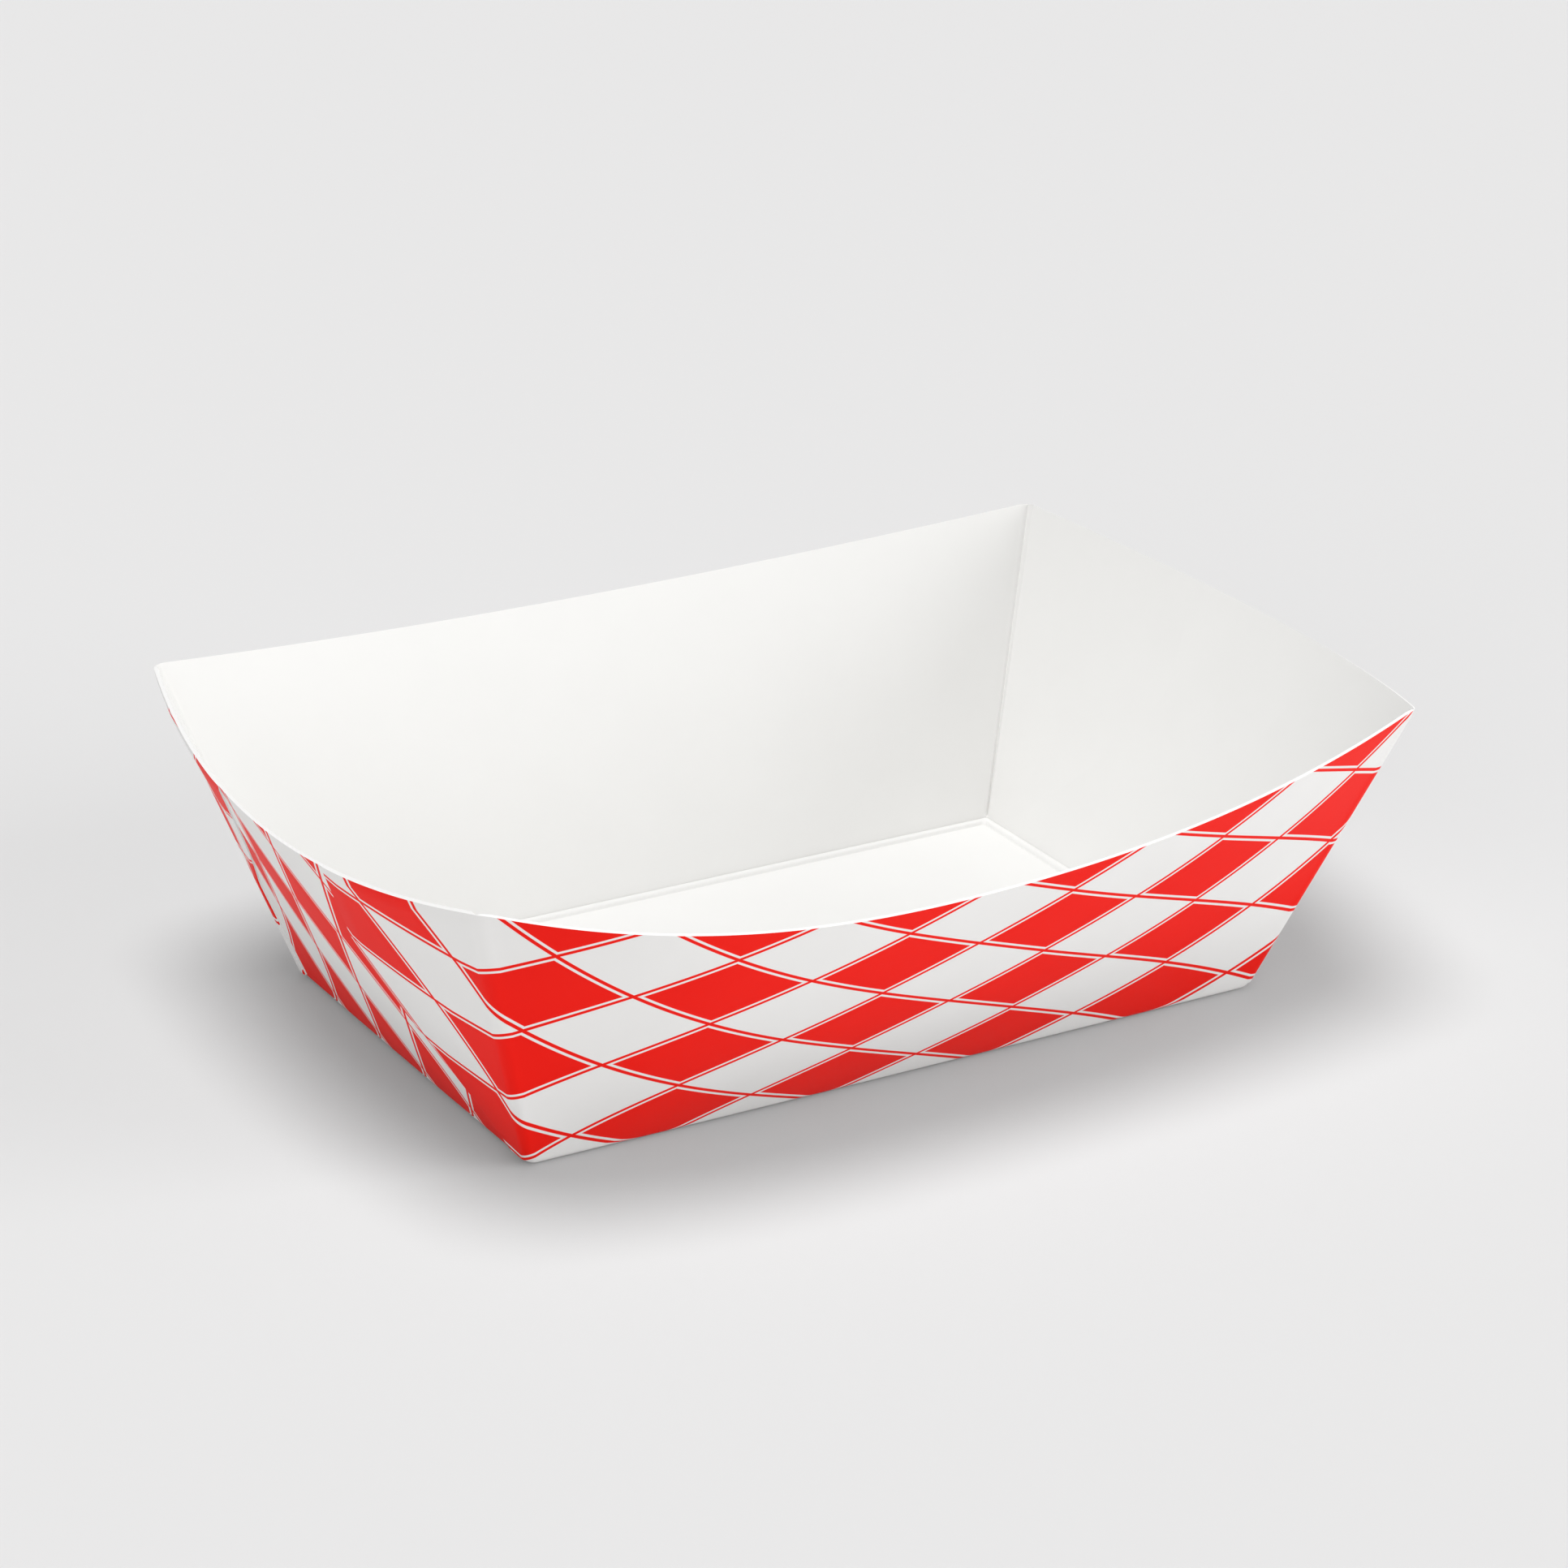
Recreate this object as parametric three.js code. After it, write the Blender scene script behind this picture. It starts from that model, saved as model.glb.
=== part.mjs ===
// Paper food tray, folded from one printed and die-cut blank of paperboard.
//
// The flat base carries four flared walls. Each long wall ends in two glue tabs that fold
// round the corners and are glued to the outside of the end walls, so the board is double
// there. The rim is a plain cut edge. It swings outwards and dips between its four corners,
// because the walls are drawn in at the corners only.
//
// Millimetres, +Z up, +X along the tray. The origin is on the underside, at the middle of
// the base. The front wall faces -Y, and the left end wall faces -X.

import * as THREE from 'three';

// Board
const boardThickness = 0.45;
const creaseRadius = 1.3;
const creaseBead = 0.22;

// Base, measured between its four creases
const baseLength = 130.8;
const baseWidth = 77.2;

// Rim, measured between its four corners
const rimLength = 165;
const rimWidth = 109.7;
const rimHeight = 51;

// How far each wall's rim swings out and dips at the middle of the wall
const frontBow = 11.3;
const frontDip = 9.0;
const backBow = 9.4;
const backDip = 6.0;
const leftBow = 7.3;
const leftDip = 5.9;
const rightBow = 12.8;
const rightDip = 5.4;

// Shape of those curves: 2 is a parabola, and more is flatter in the middle with fuller ends
const curvePower = 2;
const frontBowPower = 2.9;

// As hand folding leaves it, the front wall is fullest a little to the left of its middle,
// and it bulges between its crease and its rim
const frontLean = -0.22;
const frontBelly = 1.4;

// Folded corners: the distance from the corner at which a wall starts to turn
const cornerTurnAtBase = 1.3;
const cornerTurnAtRim = 1.8;

// Glue tabs: their width along the rim, their foot at the base corner, how far up the wall
// the slanting lower edge reaches, and how full that edge is (0 is straight)
const tabWidth = 36;
const tabFootWidth = 3;
const tabShoulder = 35;
const tabFullness = 0.5;

// Fineness of the surface
const longWallSteps = 26;
const endTabSteps = 6;
const endMiddleSteps = 8;
const cornerSteps = 5;
const creaseSteps = 5;
const heightSteps = 10;

const lerp = THREE.MathUtils.lerp;

// One wall. along and out are unit vectors in plan. A point has two coordinates: s runs from
// -1 to 1 between the corners, and t from 0 at the crease to 1 at the rim.
function makeWall(along, out, baseHalf, rimHalf, baseOut, rimOut, curve) {
  const swell = (s, power) => (1 - Math.abs(s) ** power) * (1 + curve.lean * s);
  return {
    rimHalf,
    baseHalf,
    slant: Math.hypot(rimOut - baseOut, rimHeight),
    at(s, t) {
      const bow = curve.bow * swell(s, curve.power);
      const dip = curve.dip * swell(s, curvePower);
      const belly = 4 * t * (1 - t) * curve.belly * swell(s, curve.power);
      const sideways = s * lerp(baseHalf, rimHalf, t);
      const outwards = lerp(baseOut, rimOut + bow, t) + belly;
      return new THREE.Vector3(
        along.x * sideways + out.x * outwards,
        along.y * sideways + out.y * outwards,
        (rimHeight - dip) * t,
      );
    },
  };
}

// The walls in the order in which the outline runs: front, right, back, left. Each runs
// anticlockwise seen from above, so its s = 1 meets the next wall's s = -1.
function makeWalls() {
  const halfBase = [baseLength / 2, baseWidth / 2];
  const halfRim = [rimLength / 2, rimWidth / 2];
  const px = { x: 1, y: 0 };
  const py = { x: 0, y: 1 };
  const nx = { x: -1, y: 0 };
  const ny = { x: 0, y: -1 };
  const curve = (bow, dip, power = curvePower, lean = 0, belly = 0) => (
    { bow, dip, power, lean, belly });
  const front = curve(frontBow, frontDip, frontBowPower, frontLean, frontBelly);
  const right = curve(rightBow, rightDip);
  const back = curve(backBow, backDip);
  const left = curve(leftBow, leftDip);
  return [
    makeWall(px, ny, halfBase[0], halfRim[0], halfBase[1], halfRim[1], front),
    makeWall(py, px, halfBase[1], halfRim[1], halfBase[0], halfRim[0], right),
    makeWall(nx, py, halfBase[0], halfRim[0], halfBase[1], halfRim[1], back),
    makeWall(ny, nx, halfBase[1], halfRim[1], halfBase[0], halfRim[0], left),
  ];
}

// How far the turn of a corner reaches along a wall, as a share of the wall's half length
function turnShare(wall, t) {
  return lerp(cornerTurnAtBase, cornerTurnAtRim, t) / lerp(wall.baseHalf, wall.rimHalf, t);
}

// Where a glue tab's free edge lies on an end wall: its s at height t, on the s = 1 side
function tabEdge(wall, t) {
  const rise = Math.min((t * wall.slant) / tabShoulder, 1);
  const share = rise * (1 + tabFullness * (1 - rise));
  const width = lerp(tabFootWidth, tabWidth, share);
  return 1 - width / lerp(wall.baseHalf, wall.rimHalf, t);
}

// Each column of the skin is a function from the height t to a point, with the number of
// extra boards that a glue tab lays on the outside there.
function makeColumns(walls) {
  const columns = [];
  const add = (at, lap) => columns.push({ at, lap });
  walls.forEach((wall, index) => {
    const isEnd = index % 2 === 1;
    const next = walls[(index + 1) % walls.length];
    const spread = (from, to, steps, lap, first) => {
      for (let i = first; i <= steps; i += 1) {
        add((t) => wall.at(lerp(from(t), to(t), i / steps), t), lap);
      }
    };
    const start = (t) => turnShare(wall, t) - 1;
    const finish = (t) => 1 - turnShare(wall, t);
    if (isEnd) {
      const edge = (t) => tabEdge(wall, t);
      spread(start, (t) => -edge(t), endTabSteps, 1, 0);
      spread((t) => -edge(t), edge, endMiddleSteps, 0, 0);
      spread(edge, finish, endTabSteps, 1, 0);
    } else {
      spread(start, finish, longWallSteps, 0, 0);
    }
    for (let i = 1; i < cornerSteps; i += 1) {
      const k = i / cornerSteps;
      add((t) => {
        const before = wall.at(finish(t), t);
        const corner = wall.at(1, t);
        const after = next.at(turnShare(next, t) - 1, t);
        return new THREE.QuadraticBezierCurve3(before, corner, after).getPoint(k);
      }, isEnd ? 1 - k : k);
    }
  });
  return columns;
}

// One column's points from the flat base over the crease and up the wall to the rim, with
// how much of the crease's bead each point carries and how much of a glue tab's lap.
function makeProfile(column) {
  const crease = column.at(0);
  const inner = new THREE.Vector3(
    crease.x * (1 - creaseRadius / (baseLength / 2)),
    crease.y * (1 - creaseRadius / (baseWidth / 2)),
    0,
  );
  const startOfWall = creaseRadius / rimHeight;
  const bend = new THREE.QuadraticBezierCurve3(inner, crease, column.at(startOfWall));
  const points = [];
  for (let i = 0; i <= creaseSteps; i += 1) {
    const k = i / creaseSteps;
    points.push({ position: bend.getPoint(k), bead: Math.sin(Math.PI * k) ** 2, lap: 0 });
  }
  for (let i = 1; i <= heightSteps; i += 1) {
    const t = lerp(startOfWall, 1, i / heightSteps);
    points.push({ position: column.at(t), bead: 0, lap: column.lap });
  }
  return points;
}

// At a tab's free edge two columns stand in one place, one with the tab and one without
const samePlace = (a, b) => a.position.distanceToSquared(b.position) < 1e-8;

// Outward normals of the outer face, from the neighbouring columns and rows
function addNormals(profiles) {
  const count = profiles.length;
  const rows = profiles[0].length;
  profiles.forEach((profile, c) => {
    profile.forEach((point, r) => {
      let before = (c + count - 1) % count;
      let after = (c + 1) % count;
      if (samePlace(profiles[before][r], point)) {
        before = (before + count - 1) % count;
      }
      if (samePlace(profiles[after][r], point)) {
        after = (after + 1) % count;
      }
      const across = profiles[after][r].position.clone().sub(profiles[before][r].position);
      const lower = profile[Math.max(r - 1, 0)].position;
      const upper = profile[Math.min(r + 1, rows - 1)].position;
      const up = upper.clone().sub(lower);
      point.normal = across.cross(up).normalize();
      if (r === 0) {
        point.normal.set(0, 0, -1);
      }
    });
  });
}

// The closed board: outer face, inner face, the cut edge round the rim, and the base
function makeBoard() {
  const columns = makeColumns(makeWalls());
  const profiles = columns.map(makeProfile);
  addNormals(profiles);
  const rows = profiles[0].length;
  const vertices = [];
  const addVertex = (v) => vertices.push(v) - 1;

  const outer = [];
  const inner = [];
  profiles.forEach((profile, c) => {
    const previous = c > 0 ? profiles[c - 1] : null;
    const twin = (r) => previous && samePlace(previous[r], profile[r]);
    outer.push(profile.map((p, r) => {
      if (twin(r) && previous[r].lap === p.lap) {
        return outer[c - 1][r];
      }
      return addVertex(p.position.clone().addScaledVector(p.normal, p.lap * boardThickness));
    }));
    inner.push(profile.map((p, r) => {
      if (twin(r)) {
        return inner[c - 1][r];
      }
      const depth = boardThickness + p.bead * creaseBead;
      return addVertex(p.position.clone().addScaledVector(p.normal, -depth));
    }));
  });

  const triangles = [];
  const addTriangle = (a, b, c) => {
    if (a !== b && b !== c && a !== c) {
      triangles.push([a, b, c]);
    }
  };
  const addQuad = (a, b, c, d) => {
    addTriangle(a, b, c);
    addTriangle(a, c, d);
  };

  profiles.forEach((profile, c) => {
    const n = (c + 1) % profiles.length;
    for (let r = 0; r < rows - 1; r += 1) {
      addQuad(outer[c][r], outer[n][r], outer[n][r + 1], outer[c][r + 1]);
      addQuad(inner[c][r], inner[c][r + 1], inner[n][r + 1], inner[n][r]);
    }
    addQuad(outer[c][rows - 1], outer[n][rows - 1], inner[n][rows - 1], inner[c][rows - 1]);
  });

  const addFloor = (ring, facesUp) => {
    const outline = ring.map((i) => new THREE.Vector2(vertices[i].x, vertices[i].y));
    THREE.ShapeUtils.triangulateShape(outline, []).forEach(([a, b, c]) => {
      const corners = facesUp ? [ring[a], ring[b], ring[c]] : [ring[a], ring[c], ring[b]];
      addTriangle(...corners);
    });
  };
  const ringOf = (side) => side.map((column) => column[0]).filter((v, i, all) => (
    v !== all[(i + all.length - 1) % all.length]));
  addFloor(ringOf(outer), false);
  addFloor(ringOf(inner), true);

  const geometry = new THREE.BufferGeometry();
  const positions = vertices.flatMap((v) => [v.x, v.y, v.z]);
  geometry.setAttribute('position', new THREE.Float32BufferAttribute(positions, 3));
  geometry.setIndex(triangles.flat());
  geometry.computeVertexNormals();
  return geometry;
}

const paperboard = new THREE.MeshStandardMaterial({
  color: 0xf4f3f0,
  roughness: 0.62,
  metalness: 0,
});

const tray = new THREE.Mesh(makeBoard(), paperboard);
tray.name = 'tray';

const foodTray = new THREE.Group();
foodTray.add(tray);

export default foodTray;
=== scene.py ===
import bpy
import math
from mathutils import Matrix, Vector


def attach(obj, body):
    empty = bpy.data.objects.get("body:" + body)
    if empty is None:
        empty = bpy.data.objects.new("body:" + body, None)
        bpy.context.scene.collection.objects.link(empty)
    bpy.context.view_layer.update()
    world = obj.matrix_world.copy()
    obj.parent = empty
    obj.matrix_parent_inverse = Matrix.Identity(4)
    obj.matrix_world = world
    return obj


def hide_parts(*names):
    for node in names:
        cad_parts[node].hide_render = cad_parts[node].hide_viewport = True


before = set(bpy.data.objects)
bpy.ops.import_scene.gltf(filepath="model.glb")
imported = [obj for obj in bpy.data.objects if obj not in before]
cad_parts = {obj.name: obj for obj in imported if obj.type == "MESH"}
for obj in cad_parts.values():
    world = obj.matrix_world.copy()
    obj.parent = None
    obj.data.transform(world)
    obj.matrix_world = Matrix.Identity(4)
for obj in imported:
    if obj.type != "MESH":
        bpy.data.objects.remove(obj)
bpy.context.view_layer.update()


# CAMERA
# It stands in front of the tray and to its left, a little above it, and uses a long lens.
# The picture is square.
def add_camera():
    azimuth = math.radians(-31.28)
    elevation = math.radians(22.55)
    roll = math.radians(1.17)
    distance = 0.7873
    aim_right = 0.00135
    aim_up = 0.03175

    towards = Vector((
        math.sin(azimuth) * math.cos(elevation),
        -math.cos(azimuth) * math.cos(elevation),
        math.sin(elevation),
    ))
    level = Vector((math.cos(azimuth), math.sin(azimuth), 0))
    upright = towards.cross(level)
    right = level * math.cos(roll) + upright * math.sin(roll)
    up = upright * math.cos(roll) - level * math.sin(roll)

    bpy.ops.object.camera_add()
    camera = bpy.context.object
    camera.name = "camera"
    camera.data.lens = 112.46
    camera.data.sensor_width = 36
    place = right * aim_right + up * aim_up + towards * distance
    turn = Matrix((right, up, towards)).transposed().to_4x4()
    camera.matrix_world = Matrix.Translation(place) @ turn
    bpy.context.scene.camera = camera


add_camera()


# TRAY
# One sheet of white paperboard, printed on the outside, die-cut, scored and folded up. The two
# long walls run round the corners into glue tabs, which are stuck to the outside of the end
# walls. The sheet keeps its flat coordinates as its UV map, so the print lies on it as printed.
board = 0.00045
crease_radius = 0.0013
crease_bead = 0.0003
crease_groove = 0.00018
corner_groove = 0.0003
corner_groove_reach = 0.17
base_length = 0.1308
base_width = 0.0772
rim_length = 0.165
rim_width = 0.1097
rim_height = 0.051
corner_turn_at_base = 0.0013
corner_turn_at_rim = 0.0018
tab_width = 0.036
tab_foot = 0.003
tab_shoulder = 0.035
tab_fullness = 0.5


def mix(a, b, k):
    return a + (b - a) * k


class Wall:
    """One wall. s runs from -1 to 1 between its corners, t from 0 at the crease to 1 at the rim.

    bow and dip say how far the rim swings out and sinks at the wall's middle. fullness is the
    power of the bow's curve, lean shifts it to one side, and belly bulges the wall itself.
    drift, where a wall has one, says how far its print lies off its true place. straight_tab
    names the side on which the tab that covers the wall has a straight lower edge, 1 or -1."""

    def __init__(self, along, out, halves, outs, bow, dip, fullness=2, lean=0, belly=0):
        self.along = Vector(along)
        self.out = Vector(out)
        self.base_half, self.rim_half = halves
        self.base_out, self.rim_out = outs
        self.bow, self.dip = bow, dip
        self.fullness, self.lean, self.belly = fullness, lean, belly
        self.slant = math.hypot(self.rim_out - self.base_out, rim_height)
        self.straight_tab = 0
        self.drift = None
        self.unfold()

    def straight(self, s, t):
        """The place on the wall, with the crease as a sharp line."""
        leaning = 1 + self.lean * s
        bow_here = (1 - abs(s) ** self.fullness) * leaning
        dip_here = (1 - s * s) * leaning
        belly = 4 * t * (1 - t) * self.belly * bow_here
        outwards = mix(self.base_out, self.rim_out + self.bow * bow_here, t) + belly
        sideways = s * mix(self.base_half, self.rim_half, t)
        height = (rim_height - self.dip * dip_here) * t
        return self.along * sideways + self.out * outwards + Vector((0, 0, height))

    def point(self, s, rise):
        """The same with the crease rounded. rise is -1 on the base, 0 above the crease and 1
        at the rim."""
        wall_start = crease_radius / rim_height
        if rise >= 0:
            return self.straight(s, mix(wall_start, 1, rise))
        crease = self.straight(s, 0)
        inset = crease - self.out * crease_radius
        inset -= self.along * (crease.dot(self.along) / self.base_half * crease_radius)
        lower = mix(inset, crease, rise + 1)
        upper = mix(crease, self.straight(s, wall_start), rise + 1)
        return mix(lower, upper, rise + 1)

    def unfold(self):
        """Lays the wall flat, from its middle to each side. Every straight line up the wall
        keeps its length, and so does every step along the rim."""
        self.flat_steps = steps = 80
        self.flat_rim = {}
        middle = (self.straight(0, 1) - self.straight(0, 0)).length
        for way in (1, -1):
            here = Vector((0, middle))
            self.flat_rim[0] = here
            for i in range(1, steps + 1):
                s = way * i / steps
                foot = Vector((s * self.base_half, 0))
                up_length = (self.straight(s, 1) - self.straight(s, 0)).length
                last = way * (i - 1) / steps
                rim_step = (self.straight(s, 1) - self.straight(last, 1)).length
                gap = here - foot
                squares = up_length ** 2 - rim_step ** 2 + gap.length_squared
                along_gap = squares / (2 * gap.length)
                aside = math.sqrt(max(up_length ** 2 - along_gap ** 2, 0))
                across = Vector((gap.y, -gap.x)).normalized() * way
                here = foot + gap.normalized() * along_gap + across * aside
                self.flat_rim[way * i] = here

    def flat(self, s, t):
        """Flat coordinates on the wall: along its crease from the middle, and up from it."""
        place = max(-1, min(1, s)) * self.flat_steps
        low = math.floor(place)
        high = min(low + 1, self.flat_steps)
        rim = mix(self.flat_rim[low], self.flat_rim[high], place - low)
        return mix(Vector((s * self.base_half, 0)), rim, t)

    def on_sheet(self, flat, rise):
        """A flat place on the wall as a place on the whole sheet, from the middle of the base."""
        if self.drift:
            flat = flat + self.drift(flat) * min(rise + 1, 1)
        place = self.along * flat.x + self.out * (self.base_out + flat.y)
        return Vector((place.x, place.y))


def flat_height(rise):
    """How far up the flat wall a rise lies, as a share; below the crease it is less than 0."""
    wall_start = crease_radius / rim_height
    return mix(wall_start, 1, rise) if rise >= 0 else wall_start * (2 * rise + 1)


def fold_line(wall, side):
    """A wall's corner line when flat: its foot, its direction, and the direction off its end."""
    foot = Vector((side * wall.base_half, 0))
    up = (wall.flat_rim[side * wall.flat_steps] - foot).normalized()
    return foot, up, Vector((up.y, -up.x)) * side


def carried_over(end, long, side, flat):
    """A flat place on an end wall as a flat place on the tab of the long wall that covers it."""
    foot, up, off = fold_line(end, -side)
    offset = flat - foot
    long_foot, long_up, long_off = fold_line(long, side)
    return long_foot + long_up * offset.dot(up) - long_off * offset.dot(off)


def turn_share(wall, t):
    """How far the turn of a corner reaches along a wall, as a share of its half length."""
    return mix(corner_turn_at_base, corner_turn_at_rim, t) / mix(wall.base_half, wall.rim_half, t)


def tab_edge(wall, t, side):
    """Where a tab ends on an end wall: its distance from the wall's middle, as a share of the
    half length there."""
    up = min(t * wall.slant / tab_shoulder, 1)
    width = mix(tab_foot, tab_width, up * (1 + tab_fullness * (1 - up)))
    if wall.straight_tab == side:
        slant_start, rim_width = 0.33, 0.0385
        width = mix(tab_foot, rim_width, max(t - slant_start, 0) / (1 - slant_start))
    return 1 - width / mix(wall.base_half, wall.rim_half, t)


def bead_height(rise):
    """The raised bead that scoring leaves inside the crease, with a fine groove on each side."""
    if rise >= 0:
        return 0
    across = rise + 1
    groove_place, groove_width = 0.14, 0.07
    groove = math.exp(-((min(across, 1 - across) - groove_place) / groove_width) ** 2)
    return crease_bead * math.sin(math.pi * across) ** 2 - crease_groove * groove


def lap_height(rise):
    """How far a tab stands off the wall that it is glued to. It is pressed thin along the rim."""
    if rise < 0:
        return 0
    pressed_from, pressed_share = 0.975, 0.3
    return board * mix(1, pressed_share, max(rise - pressed_from, 0) / (1 - pressed_from))


def front_drift(flat):
    """How far the print lies off its true place on the front wall, which was drawn into its
    curve by hand. Each drift is along and up, at the top or the foot of the wall."""
    left_top, left_foot = Vector((-0.0032, -0.0022)), Vector((0.0019, 0.0031))
    middle_top, middle_foot = Vector((0.0009, 0.0002)), Vector((-0.0002, -0.0002))
    right_top, right_foot = Vector((0.0006, -0.0017)), Vector((-0.0042, 0.0024))
    on_tab = Vector((0.14, -0.04))
    half_length, height = 0.085, 0.053
    calm, sharpness = 0.2, 1.5
    x, up = flat.x / half_length, flat.y / height
    left = min(max((-x - calm) / (1 - calm), 0), 1) ** sharpness
    right = min(max((x - calm) / (1 - calm), 0), 1) ** sharpness
    drift = mix(middle_foot, middle_top, up) * (1 - left - right)
    drift += mix(left_foot, left_top, up) * left + mix(right_foot, right_top, up) * right
    return drift + on_tab * max(-x - 1, 0) * half_length


def facing(surface, u, rise):
    """The outward direction of a surface, a function of u and rise, from small steps along it."""
    step = 0.002
    rise_low, rise_high = max(rise - step, -1), min(rise + step, 1)
    across = surface(u + step, rise) - surface(u - step, rise)
    up = surface(u, rise_high) - surface(u, rise_low)
    return across.cross(up).normalized()


def make_walls():
    long_halves = (base_length / 2, rim_length / 2)
    end_halves = (base_width / 2, rim_width / 2)
    front = Wall((1, 0, 0), (0, -1, 0), long_halves, end_halves, bow=0.0113, dip=0.009,
                 fullness=2.9, lean=-0.22, belly=0.0014)
    right = Wall((0, 1, 0), (1, 0, 0), end_halves, long_halves, bow=0.0128, dip=0.0054)
    back = Wall((-1, 0, 0), (0, 1, 0), long_halves, end_halves, bow=0.0094, dip=0.006)
    left = Wall((0, -1, 0), (-1, 0, 0), end_halves, long_halves, bow=0.0073, dip=0.0059)
    front.drift = front_drift
    left.drift = lambda flat: Vector((-0.0012, 0.0048))
    back.drift = lambda flat: Vector((-0.0044, -0.0032))
    left.straight_tab = -1
    return [front, right, back, left]


# Each column of the board is a function of rise that gives the outer place, the inner place and
# the place on the flat sheet. Columns run anticlockwise round the tray.
def plain_column(wall, s_of, lap_share, long=None, side=0):
    """A column on a wall, or on the tab of the long wall that covers it on the given side."""
    def column(rise):
        t = flat_height(rise)
        s = s_of(max(t, 0))
        place = wall.point(s, rise)
        outward = facing(wall.point, s, rise)
        flat = wall.flat(s, t)
        sheet = wall.on_sheet(flat, rise)
        if long and rise >= 0:
            sheet = long.on_sheet(carried_over(wall, long, side, flat), rise)
        outer = place + outward * lap_share * lap_height(rise)
        inner = place - outward * (board + bead_height(rise))
        return outer, inner, sheet
    return column


def corner_column(wall, after, k, wall_is_end):
    """A column in the corner between two walls. Outside, the long wall rounds the corner into
    its tab. Inside, its inner face meets the end wall's inner face in a groove."""
    long, end, side = (after, wall, -1) if wall_is_end else (wall, after, 1)

    def on_end(t):
        return side * (turn_share(end, t) - 1)

    def on_long(t):
        return side * (1 - turn_share(long, t))

    def turn(u, rise):
        """The rounded corner, u from 0 on the long wall to 1 on the end wall."""
        t = max(flat_height(rise), 0)
        start = long.point(on_long(t), rise)
        finish = end.point(on_end(t), rise)
        lift = facing(end.point, on_end(t), rise) * (board if rise >= 0 else 0)
        sharp = long.point(side, rise) + lift
        finish = finish + lift
        return mix(mix(start, sharp, u), mix(sharp, finish, u), u)

    def column(rise):
        t = max(flat_height(rise), 0)
        reach = mix(corner_turn_at_base, corner_turn_at_rim, t)
        meeting = 1 - math.sqrt(board / reach)
        part = 1 - k if wall_is_end else k
        u = 2 * part * meeting if part < 0.5 else mix(meeting, 1, 2 * part - 1)
        outer = turn(u, rise)
        outward = facing(turn, u, rise) * side
        bead = bead_height(rise)
        if rise >= 0:
            bead = -corner_groove * max(1 - abs(part - 0.5) / corner_groove_reach, 0)
        inner = outer - outward * (board + bead)
        if u > meeting:
            nearness = (board + (reach - board) * meeting ** 2) / reach
            share = mix(nearness, 1, (u - meeting) / (1 - meeting))
            s = side * (turn_share(end, t) * share - 1)
            outward = facing(end.point, s, rise)
            inner = end.point(s, rise) - outward * (board + bead)
        if rise >= 0:
            outer = outer - facing(end.point, on_end(t), rise) * (board - lap_height(rise)) * u
        start = long.flat(on_long(t), flat_height(rise))
        finish = carried_over(end, long, side, end.flat(on_end(t), flat_height(rise)))
        return outer, inner, long.on_sheet(mix(start, finish, u), rise)
    return column


def make_columns(walls):
    long_steps, tab_steps, middle_steps, corner_steps = 120, 30, 44, 12
    half_lapped = 0.5
    columns = []
    for index, wall in enumerate(walls):
        after = walls[(index + 1) % len(walls)]
        before = walls[index - 1]
        is_end = index % 2 == 1

        def first(t, wall=wall):
            return turn_share(wall, t) - 1

        def last(t, wall=wall):
            return 1 - turn_share(wall, t)

        def first_tab_edge(t, wall=wall):
            return -tab_edge(wall, t, -1)

        def last_tab_edge(t, wall=wall):
            return tab_edge(wall, t, 1)

        def spread(low, high, steps, laps, long=None, side=0, wall=wall):
            thin_edge, thicker_each_step = 0.55, 0.15
            for i in range(steps + 1):
                def s_of(t, i=i):
                    return mix(low(t), high(t), i / steps)
                from_free_edge = steps - i if side == 1 else i
                lap_share = laps * min(thin_edge + thicker_each_step * from_free_edge, 1)
                columns.append((plain_column(wall, s_of, lap_share, long, side), laps))

        if is_end:
            spread(first, first_tab_edge, tab_steps, 1, before, 1)
            spread(first_tab_edge, last_tab_edge, middle_steps, 0)
            spread(last_tab_edge, last, tab_steps, 1, after, -1)
        else:
            spread(first, last, long_steps, 0)
        for i in range(1, corner_steps):
            column = corner_column(wall, after, i / corner_steps, is_end)
            columns.append((column, half_lapped))
    return columns


def add_band(name, laid, skin):
    """A grid of faces wrapped round the tray, with a line of vertices for each column. skin is
    0 for the outer face and 1 for the inner one."""
    across, up = len(laid), len(laid[0]) - 1
    bpy.ops.object.select_all(action="DESELECT")
    bpy.ops.mesh.primitive_grid_add(x_subdivisions=across, y_subdivisions=up, size=2)
    band = bpy.context.object
    band.name = name
    mesh = band.data
    uv = mesh.uv_layers.active
    uv.name = "sheet"
    where = {}
    for vertex in mesh.vertices:
        c = round((vertex.co.x + 1) / 2 * across)
        r = round((vertex.co.y + 1) / 2 * up)
        where[vertex.index] = (c, r)
        vertex.co = laid[c % across][r][skin]
    for loop in mesh.loops:
        c, r = where[loop.vertex_index]
        uv.data[loop.index].uv = laid[c % across][r][2]
    return band, where


crease_rows, wall_rows = 24, 40
crease_rises = [i / crease_rows - 1 for i in range(crease_rows)]
rises = crease_rises + [i / wall_rows for i in range(wall_rows + 1)]
columns = make_columns(make_walls())
laid = [[column(rise) for rise in rises] for column, laps in columns]

outside, outside_where = add_band("folded_tray", laid, 0)
inside, inside_where = add_band("inside", laid, 1)
bpy.ops.object.mode_set(mode="EDIT")
bpy.ops.mesh.select_all(action="SELECT")
bpy.ops.mesh.flip_normals()
bpy.ops.object.mode_set(mode="OBJECT")


# The finishes: printed board outside, bare white board inside, and the cut edge.
def add_node(tree, kind, **settings):
    node = tree.nodes.new(kind)
    for key, value in settings.items():
        setattr(node, key, value)
    return node


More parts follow.
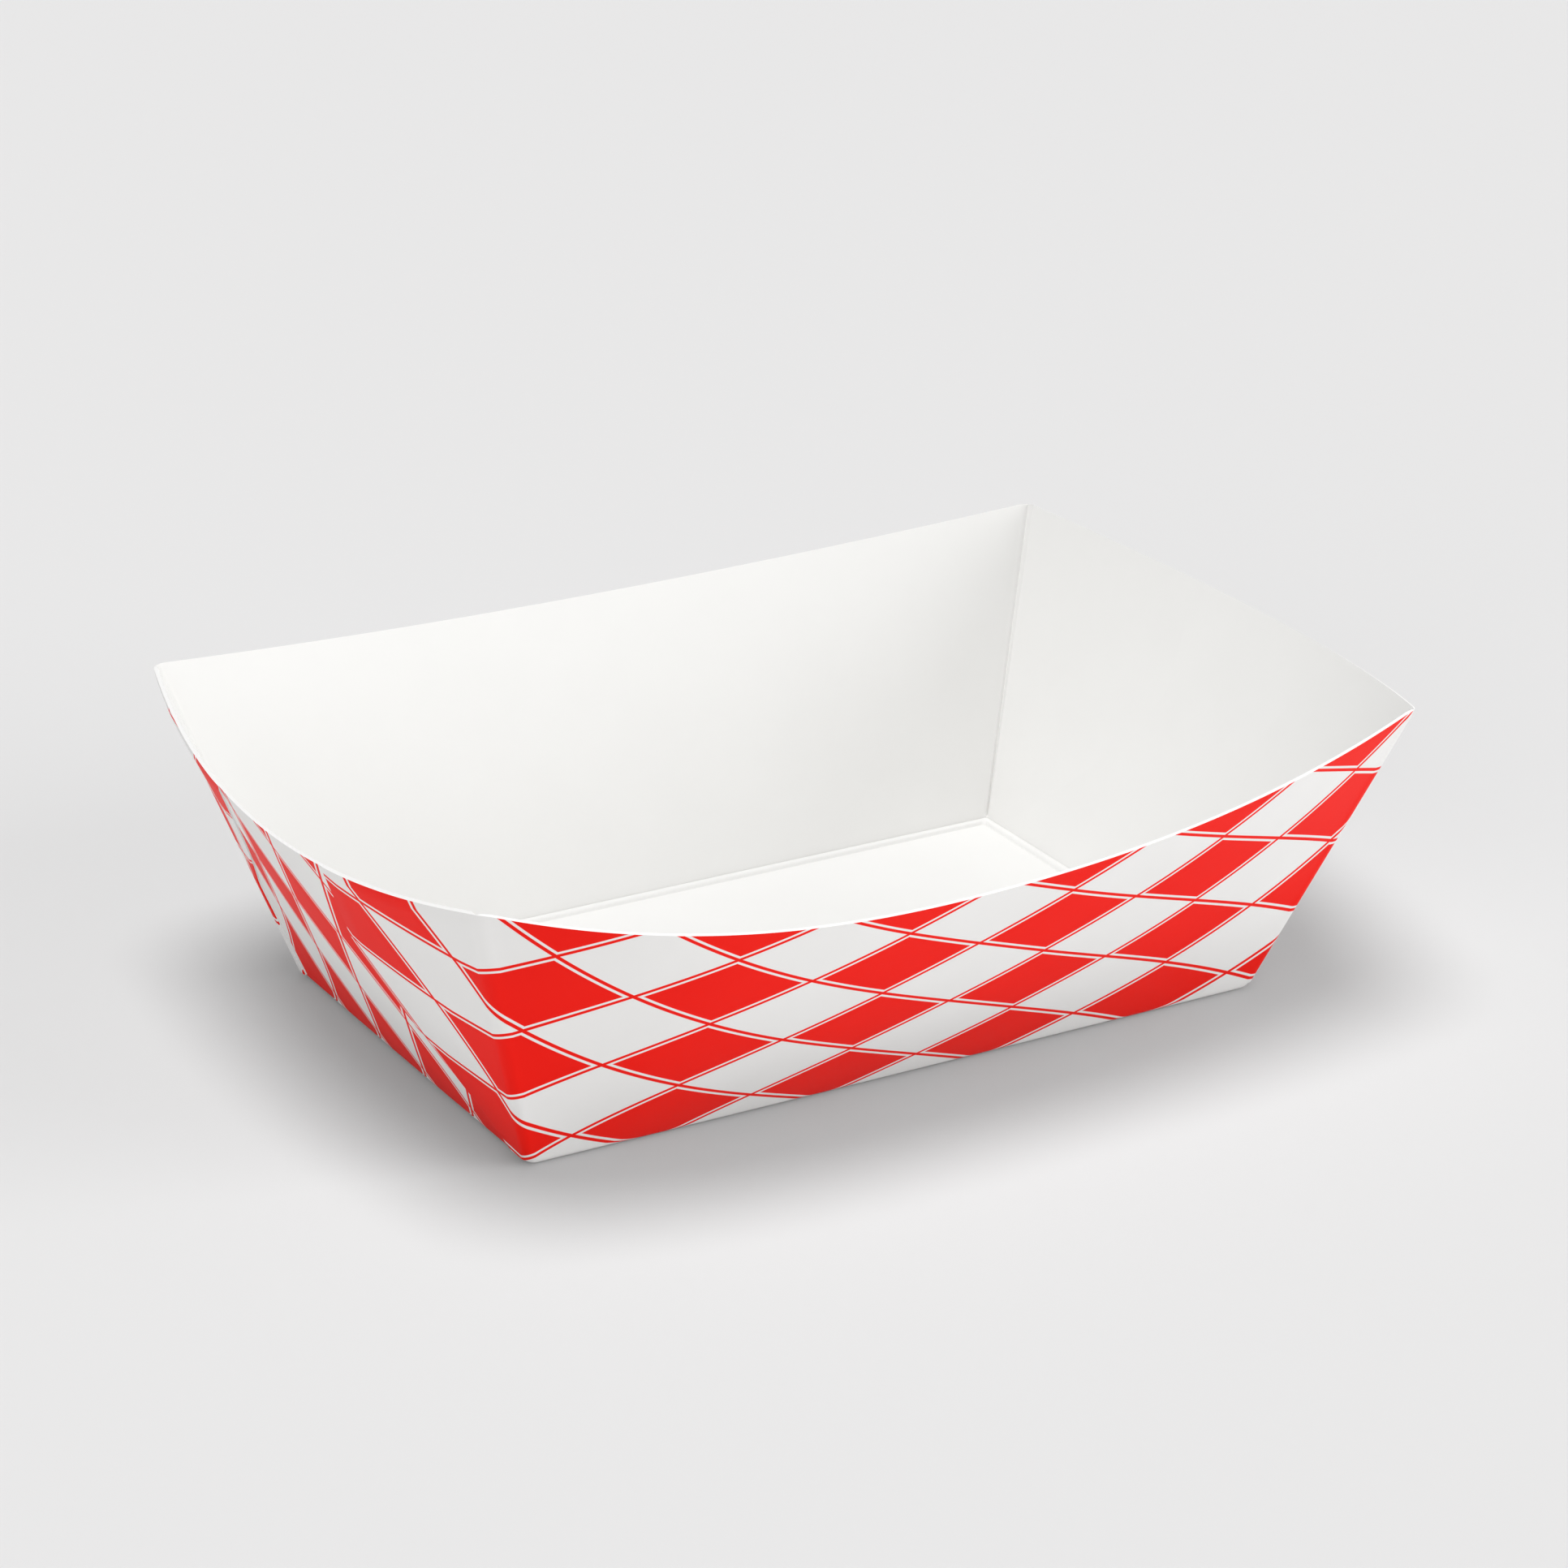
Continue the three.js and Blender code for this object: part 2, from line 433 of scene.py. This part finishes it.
def math_node(tree, operation, first, second=None, third=None):
    node = add_node(tree, "ShaderNodeMath", operation=operation)
    for socket, value in zip(node.inputs, (first, second, third)):
        if value is None:
            continue
        if isinstance(value, (int, float)):
            socket.default_value = value
        else:
            tree.links.new(value, socket)
    return node.outputs[0]


def blend(tree, factor, first, second):
    """A colour between two others. Each may be a constant or the output of another node."""
    node = add_node(tree, "ShaderNodeMix", data_type="RGBA")
    for name, value in (("Factor", factor), ("A", first), ("B", second)):
        if isinstance(value, tuple):
            node.inputs[name].default_value = value
        else:
            tree.links.new(value, node.inputs[name])
    return node.outputs["Result"]


def new_material(name):
    material = bpy.data.materials.new(name)
    material.use_nodes = True
    return material, material.node_tree, material.node_tree.nodes["Principled BSDF"]


def board_grain():
    """Node group: the fine fibre texture of coated paperboard, as a height and a slow mottle."""
    group = bpy.data.node_groups.new("board_grain", "ShaderNodeTree")
    group.interface.new_socket("Vector", in_out="INPUT", socket_type="NodeSocketVector")
    group.interface.new_socket("Height", in_out="OUTPUT", socket_type="NodeSocketFloat")
    group.interface.new_socket("Mottle", in_out="OUTPUT", socket_type="NodeSocketFloat")
    inputs = add_node(group, "NodeGroupInput")
    outputs = add_node(group, "NodeGroupOutput")
    fibre = add_node(group, "ShaderNodeTexNoise")
    fibre.inputs["Scale"].default_value = 1400
    fibre.inputs["Detail"].default_value = 3
    cloud = add_node(group, "ShaderNodeTexNoise")
    cloud.inputs["Scale"].default_value = 60
    cloud.inputs["Detail"].default_value = 2
    group.links.new(inputs.outputs["Vector"], fibre.inputs["Vector"])
    group.links.new(inputs.outputs["Vector"], cloud.inputs["Vector"])
    group.links.new(fibre.outputs["Fac"], outputs.inputs["Height"])
    group.links.new(cloud.outputs["Fac"], outputs.inputs["Mottle"])
    return group


grain = board_grain()


def use_grain(tree, shader, vector, strength):
    node = add_node(tree, "ShaderNodeGroup", node_tree=grain)
    tree.links.new(vector, node.inputs["Vector"])
    bump = add_node(tree, "ShaderNodeBump")
    bump.inputs["Strength"].default_value = strength
    bump.inputs["Distance"].default_value = 0.00002
    tree.links.new(node.outputs["Height"], bump.inputs["Height"])
    tree.links.new(bump.outputs["Normal"], shader.inputs["Normal"])
    return node


def print_mask(tree, sheet):
    """The diamond check: thin lines in both directions, with every other diamond filled."""
    diamond_width = 0.02918
    diamond_height = 0.01551
    line_width = 0.00062
    gap_width = 0.00045
    shift_along = 5.039
    shift_across = -10.777
    softness = 0.00006
    spacing = 1 / math.hypot(1 / diamond_width, 1 / diamond_height)

    split = add_node(tree, "ShaderNodeSeparateXYZ")
    tree.links.new(sheet, split.inputs[0])
    x, y = split.outputs["X"], split.outputs["Y"]
    total = math_node(tree, "MULTIPLY_ADD", x, 2 / diamond_width, shift_along)
    difference = math_node(tree, "MULTIPLY_ADD", y, -2 / diamond_height, shift_across)
    first = math_node(tree, "MULTIPLY", math_node(tree, "ADD", total, difference), 0.5)
    second = math_node(tree, "MULTIPLY", math_node(tree, "SUBTRACT", total, difference), 0.5)

    def from_line(value):
        near = math_node(tree, "PINGPONG", value, 0.5)
        return math_node(tree, "MULTIPLY", near, spacing)

    nearest = math_node(tree, "MINIMUM", from_line(first), from_line(second))

    def past(distance):
        node = add_node(tree, "ShaderNodeMapRange", interpolation_type="SMOOTHSTEP")
        tree.links.new(nearest, node.inputs["Value"])
        node.inputs["From Min"].default_value = distance - softness
        node.inputs["From Max"].default_value = distance + softness
        return node.outputs["Result"]

    line = math_node(tree, "SUBTRACT", 1, past(line_width / 2))
    first_cell, second_cell = (math_node(tree, "FLOOR", value) for value in (first, second))
    cell = math_node(tree, "ADD", first_cell, second_cell)
    filled = math_node(tree, "FLOORED_MODULO", cell, 2)
    diamond = math_node(tree, "MULTIPLY", filled, past(line_width / 2 + gap_width))
    return math_node(tree, "MAXIMUM", line, diamond)


def printed_board():
    material, tree, shader = new_material("printed_board")
    uv = add_node(tree, "ShaderNodeUVMap", uv_map="sheet")
    node = use_grain(tree, shader, uv.outputs["UV"], 0.25)
    ink = print_mask(tree, uv.outputs["UV"])
    mottle = node.outputs["Mottle"]
    white = blend(tree, mottle, (0.89, 0.88, 0.865, 1), (0.94, 0.935, 0.925, 1))
    red = blend(tree, mottle, (0.94, 0.006, 0.001, 1), (1.0, 0.01, 0.003, 1))
    colour = blend(tree, ink, white, red)
    # To the light that bounces off it the board is a pale neutral grey, so that it doesn't tint
    # the floor.
    path = add_node(tree, "ShaderNodeLightPath")
    seen = blend(tree, path.outputs["Is Diffuse Ray"], colour, (0.68, 0.67, 0.67, 1))
    tree.links.new(seen, shader.inputs["Base Color"])
    shader.inputs["Roughness"].default_value = 0.5
    shader.inputs["Specular IOR Level"].default_value = 0.1
    return material


def white_board():
    material, tree, shader = new_material("white_board")
    uv = add_node(tree, "ShaderNodeUVMap", uv_map="sheet")
    node = use_grain(tree, shader, uv.outputs["UV"], 0.3)
    mottle = node.outputs["Mottle"]
    white = blend(tree, mottle, (0.86, 0.855, 0.84, 1), (0.89, 0.885, 0.87, 1))
    tree.links.new(white, shader.inputs["Base Color"])
    shader.inputs["Roughness"].default_value = 0.6
    shader.inputs["Specular IOR Level"].default_value = 0.3
    return material


def cut_edge_painted_highlight():
    material, tree, shader = new_material("cut_edge_painted_highlight")
    place = add_node(tree, "ShaderNodeTexCoord")
    node = use_grain(tree, shader, place.outputs["Object"], 0.8)
    fibre = node.outputs["Height"]
    # Painted highlight: the cut edge is given a whiter colour than the board's faces. Part of
    # this is the bare fibre's own pale tone, and part is light catching the rim, painted into the
    # colour.
    white = blend(tree, fibre, (0.93, 0.925, 0.915, 1), (0.97, 0.965, 0.955, 1))
    tree.links.new(white, shader.inputs["Base Color"])
    shader.inputs["Roughness"].default_value = 0.9
    return material


# The outer and inner faces are joined at the rim and closed at the base. The narrow steps
# between a tab and the wall beside it are the tab's cut edge, which isn't printed.
tray_finishes = [printed_board(), white_board(), cut_edge_painted_highlight()]
for skin, slot in ((outside, 0), (inside, 1)):
    for finish in tray_finishes:
        skin.data.materials.append(finish)
    for face in skin.data.polygons:
        face.material_index = slot
laps = [lap for column, lap in columns]
tab_steps = {c for c in range(1, len(laps)) if {laps[c - 1], laps[c]} == {0, 1}}
for face in outside.data.polygons:
    spots = {outside_where[v][0] for v in face.vertices}
    if max(spots) in tab_steps and max(spots) - min(spots) == 1:
        face.material_index = 2

bpy.ops.object.select_all(action="DESELECT")
outside.select_set(True)
inside.select_set(True)
bpy.context.view_layer.objects.active = outside
bpy.ops.object.join()
tray = outside
bpy.ops.object.mode_set(mode="EDIT")
bpy.ops.mesh.select_all(action="SELECT")
weld_distance = 0.000002
bpy.ops.mesh.remove_doubles(threshold=weld_distance)
bpy.ops.mesh.select_mode(type="EDGE")
bpy.ops.mesh.select_all(action="DESELECT")
bpy.ops.object.mode_set(mode="OBJECT")


def open_edges(mesh):
    """Edges with a face on one side only."""
    sides = {}
    for face in mesh.polygons:
        for key in face.edge_keys:
            sides[key] = sides.get(key, 0) + 1
    return [edge for edge in mesh.edges if sides.get(edge.key, 0) == 1]


def select_edges(mesh, wanted):
    for group in (mesh.vertices, mesh.edges, mesh.polygons):
        group.foreach_set("select", [False] * len(group))
    for edge in wanted:
        edge.select = True


def height_of(mesh, edge):
    return min(mesh.vertices[v].co.z for v in edge.vertices)


mesh = tray.data
rim_edges = [edge for edge in open_edges(mesh) if height_of(mesh, edge) > rim_height / 2]
select_edges(mesh, rim_edges)
old_faces = len(mesh.polygons)
bpy.ops.object.mode_set(mode="EDIT")
bpy.ops.mesh.bridge_edge_loops()
bpy.ops.object.mode_set(mode="OBJECT")
mesh = tray.data
for face in mesh.polygons[old_faces:]:
    face.material_index = 2

base_lip = 0.0004
for is_floor in (False, True):
    base_edges = [
        edge for edge in open_edges(mesh)
        if (height_of(mesh, edge) > board / 2) == is_floor
    ]
    select_edges(mesh, base_edges)
    old_faces = len(mesh.polygons)
    bpy.ops.object.mode_set(mode="EDIT")
    bpy.ops.mesh.edge_face_add()
    bpy.ops.mesh.inset(thickness=base_lip)
    bpy.ops.object.mode_set(mode="OBJECT")
    mesh = tray.data
    uv = mesh.uv_layers["sheet"]
    for face in mesh.polygons[old_faces:]:
        face.material_index = 1 if is_floor else 0
        for loop in face.loop_indices:
            co = mesh.vertices[mesh.loops[loop].vertex_index].co
            uv.data[loop].uv = (co.x, co.y)

bpy.ops.object.mode_set(mode="EDIT")
bpy.ops.mesh.select_all(action="SELECT")
bpy.ops.mesh.normals_make_consistent(inside=False)
bpy.ops.object.mode_set(mode="OBJECT")
sharpest_smooth_angle = math.radians(40)
bpy.ops.object.shade_smooth_by_angle(angle=sharpest_smooth_angle)
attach(tray, "root")
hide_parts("tray")


# FLOOR
# A plain pale studio floor. It isn't part of the tray.
bpy.ops.object.select_all(action="DESELECT")
bpy.ops.mesh.primitive_plane_add(size=8)
floor = bpy.context.object
floor.name = "studio_floor"
floor_finish, floor_tree, floor_shader = new_material("studio_floor")
floor_shader.inputs["Base Color"].default_value = (0.783, 0.779, 0.779, 1)
floor_shader.inputs["Roughness"].default_value = 0.9
floor.data.materials.append(floor_finish)


# LIGHT
# Three broad soft lights, one high up, one from the front right and one from the left, and an
# even surround.
def add_soft_light(name, towards, spread, strength):
    bpy.ops.object.light_add(type="SUN", location=Vector(towards))
    light = bpy.context.object
    light.name = name
    light.data.angle = math.radians(spread)
    light.data.energy = strength
    light.rotation_euler = Vector(towards).to_track_quat("Z", "Y").to_euler()


add_soft_light("overhead_light", towards=(-0.12, -0.03, 1), spread=34, strength=1.64)
add_soft_light("front_light", towards=(1.25, -1, 0.25), spread=40, strength=1.62)
add_soft_light("left_light", towards=(-1, -0.6, 0.4), spread=40, strength=0.43)

world = bpy.data.worlds.new("surround")
world.use_nodes = True
world.node_tree.nodes["Background"].inputs["Color"].default_value = (1, 1, 1, 1)
world.node_tree.nodes["Background"].inputs["Strength"].default_value = 0.39
bpy.context.scene.world = world
bpy.context.scene.view_settings.view_transform = "Standard"
